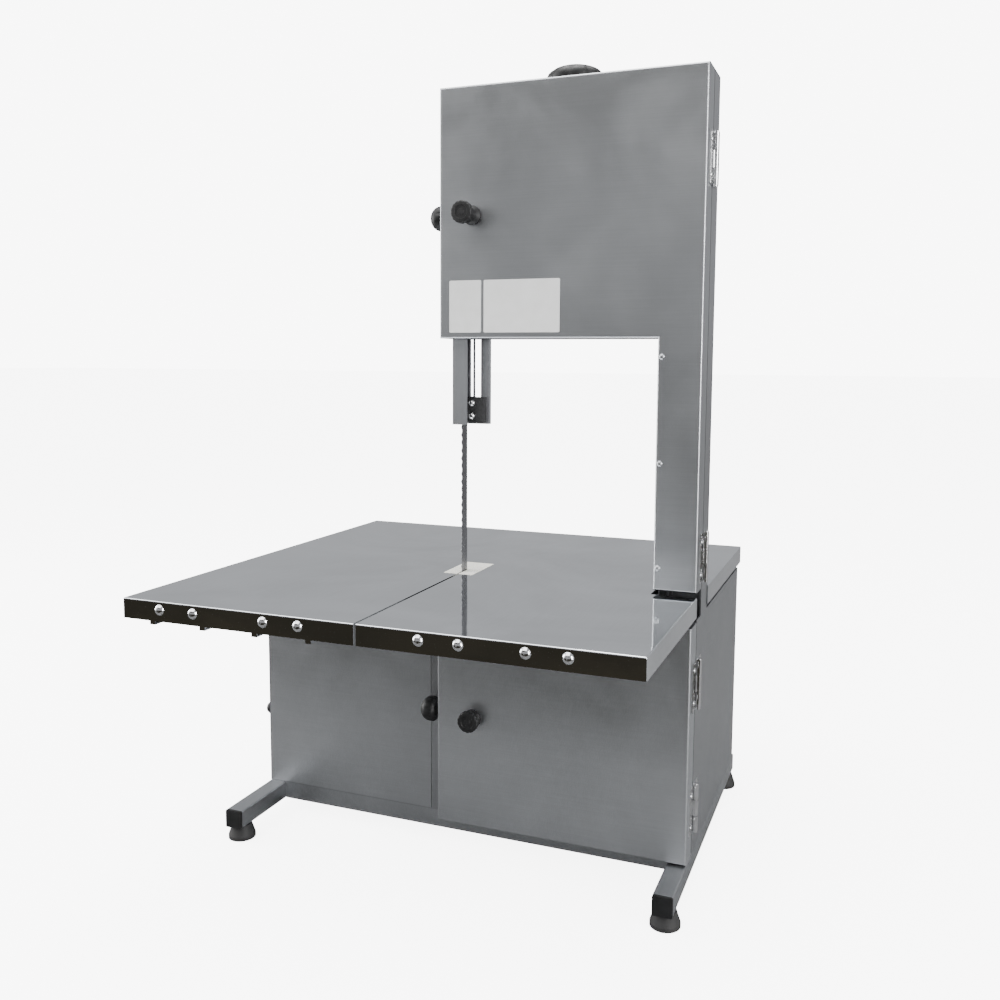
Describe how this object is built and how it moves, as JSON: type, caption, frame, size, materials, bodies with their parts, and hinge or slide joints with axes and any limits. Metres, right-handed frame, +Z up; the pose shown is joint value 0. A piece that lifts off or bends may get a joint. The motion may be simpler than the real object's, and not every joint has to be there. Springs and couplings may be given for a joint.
{
  "type": "bone saw",
  "caption": "Bench-top vertical band saw for bone and frozen meat: table with slot and insert, head and cabinet with hinged doors, sliding blade guide, tensioned band wheels and belt drive.",
  "frame": {"origin": "bottom centre of the whole saw, on the plane its feet stand on", "axes": "+Z up; -Y is the operator side with the doors; +X is the hinge side with the column"},
  "size_m": [0.5253, 0.5142, 0.8388],
  "materials": {
    "stainless": "satin",
    "table_steel": "bright satin",
    "tube_steel": "satin",
    "black_plastic": "moulded",
    "rubber": "matt",
    "zinc": "bright plated",
    "machined_steel": "turned",
    "cast_alloy": "cast and turned",
    "band_steel": "rolled",
    "white_plastic": "milled",
    "motor_paint": "satin paint",
    "switch_grey": "moulded",
    "button_green": "moulded",
    "button_red": "moulded"
  },
  "bodies": {
    "frame": {"base_cross_tubes": "tube_steel", "base_skids": "tube_steel", "bearing_housing": "cast_alloy", "cabinet_floor": "stainless", "cabinet_front_panel": "stainless", "cabinet_left_side": "stainless", "cabinet_rear_panel": "stainless", "cabinet_right_side": "stainless", "cable_gland": "black_plastic", "case_fixings": "zinc", "column_splice": "stainless", "door_catches": "stainless", "drive_belt": "rubber", "foot_fixings": "zinc", "guide_bracket": "stainless", "head_body": "stainless", "hinge_fixed_leaves": "zinc", "hinge_pins": "zinc", "insert_seat": "table_steel", "lower_bearings": "machined_steel", "lower_blade_guide": "white_plastic", "motor": "motor_paint", "motor_fan_cover": "motor_paint", "motor_plate": "motor_paint", "rubber_feet": "rubber", "saw_band": "band_steel", "scrap_tray": "stainless", "skid_end_caps": "black_plastic", "switch_station": "switch_grey", "table_fixings": "zinc", "table_insert": "white_plastic", "table_stiffeners": "table_steel", "table_top": "table_steel", "tension_frame": "machined_steel", "wheel_case": "stainless"},
    "upper_door": {"upper_door_panel": "stainless", "column_guard_strip": "stainless", "upper_door_leaves": "zinc"},
    "upper_door_knob": {"upper_door_knob": "black_plastic"},
    "lower_door": {"lower_door_panel": "stainless", "lower_door_leaves": "zinc"},
    "lower_door_knob": {"lower_door_knob": "black_plastic"},
    "door_lock_knob": {"door_lock_knob": "black_plastic"},
    "guide_lock_knob": {"guide_lock_knob": "black_plastic"},
    "guide_post": {"guide_channel": "stainless", "upper_guide_block": "machined_steel", "guide_block_fixings": "zinc"},
    "tension_carriage": {"tension_carriage": "machined_steel", "upper_axle": "machined_steel", "upper_bearings": "machined_steel"},
    "tension_handwheel": {"tension_screw": "machined_steel", "tension_handwheel": "black_plastic"},
    "upper_wheel": {"upper_wheel": "cast_alloy"},
    "lower_wheel": {"lower_wheel": "cast_alloy", "lower_shaft": "machined_steel", "driven_pulley": "cast_alloy"},
    "motor_rotor": {"motor_shaft": "machined_steel", "motor_pulley": "cast_alloy"},
    "start_button": {"start_button": "button_green"},
    "stop_button": {"stop_button": "button_red"}
  },
  "joints": [
    {"name": "upper_door_hinge", "type": "hinge", "parent": "frame", "child": "upper_door", "pos_m": [0.25965, -0.01385, 0.54], "axis": [0, 0, 1], "range_deg": [0, 120]},
    {"name": "lower_door_hinge", "type": "hinge", "parent": "frame", "child": "lower_door", "pos_m": [0.25965, -0.03535, 0.15], "axis": [0, 0, 1], "range_deg": [0, 120]},
    {"name": "upper_door_knob_turn", "type": "hinge", "parent": "upper_door", "child": "upper_door_knob", "pos_m": [0.01535, -0.04085, 0.686], "axis": [0, 1, 0], "continuous": true},
    {"name": "lower_door_knob_turn", "type": "hinge", "parent": "lower_door", "child": "lower_door_knob", "pos_m": [0.02535, -0.06185, 0.158], "axis": [0, 1, 0], "continuous": true},
    {"name": "door_lock_knob_turn", "type": "hinge", "parent": "lower_door", "child": "door_lock_knob", "pos_m": [-0.01535, -0.04935, 0.158], "axis": [1, 0, 0], "continuous": true},
    {"name": "guide_lock_knob_turn", "type": "hinge", "parent": "frame", "child": "guide_lock_knob", "pos_m": [-0.02215, -0.00785, 0.689], "axis": [1, 0, 0], "continuous": true},
    {"name": "guide_post_slide", "type": "slide", "parent": "frame", "child": "guide_post", "axis": [0, 0, 1], "range_m": [-0.12, 0.075]},
    {"name": "handwheel_turn", "type": "hinge", "parent": "frame", "child": "tension_handwheel", "pos_m": [0.1099, 0.00915, 0.817], "axis": [0, 0, 1], "range_deg": [-2040, 0]},
    {"name": "carriage_slide", "type": "slide", "parent": "frame", "child": "tension_carriage", "axis": [0, 0, 1], "range_m": [-0.0085, 0]},
    {"name": "lower_wheel_spin", "type": "hinge", "parent": "frame", "child": "lower_wheel", "pos_m": [0.1099, -0.00485, 0.157], "axis": [0, 1, 0], "continuous": true},
    {"name": "upper_wheel_spin", "type": "hinge", "parent": "tension_carriage", "child": "upper_wheel", "pos_m": [0.1099, -0.00485, 0.686], "axis": [0, 1, 0], "continuous": true},
    {"name": "motor_spin", "type": "hinge", "parent": "frame", "child": "motor_rotor", "pos_m": [-0.13265, 0.06815, 0.15], "axis": [0, 1, 0], "continuous": true},
    {"name": "start_button_push", "type": "slide", "parent": "frame", "child": "start_button", "axis": [1, 0, 0], "range_m": [0, 0.001], "stiffness_N_per_m": 400, "springref_m": -0.001},
    {"name": "stop_button_push", "type": "slide", "parent": "frame", "child": "stop_button", "axis": [1, 0, 0], "range_m": [0, 0.0035], "stiffness_N_per_m": 400, "springref_m": -0.002}
  ],
  "couplings": [
    {"joint": "handwheel_turn", "follows": "carriage_slide", "rad_per_m": 4188.8},
    {"joint": "upper_wheel_spin", "follows": "lower_wheel_spin", "ratio": 1},
    {"joint": "motor_spin", "follows": "lower_wheel_spin", "ratio": 1.8772}
  ]
}
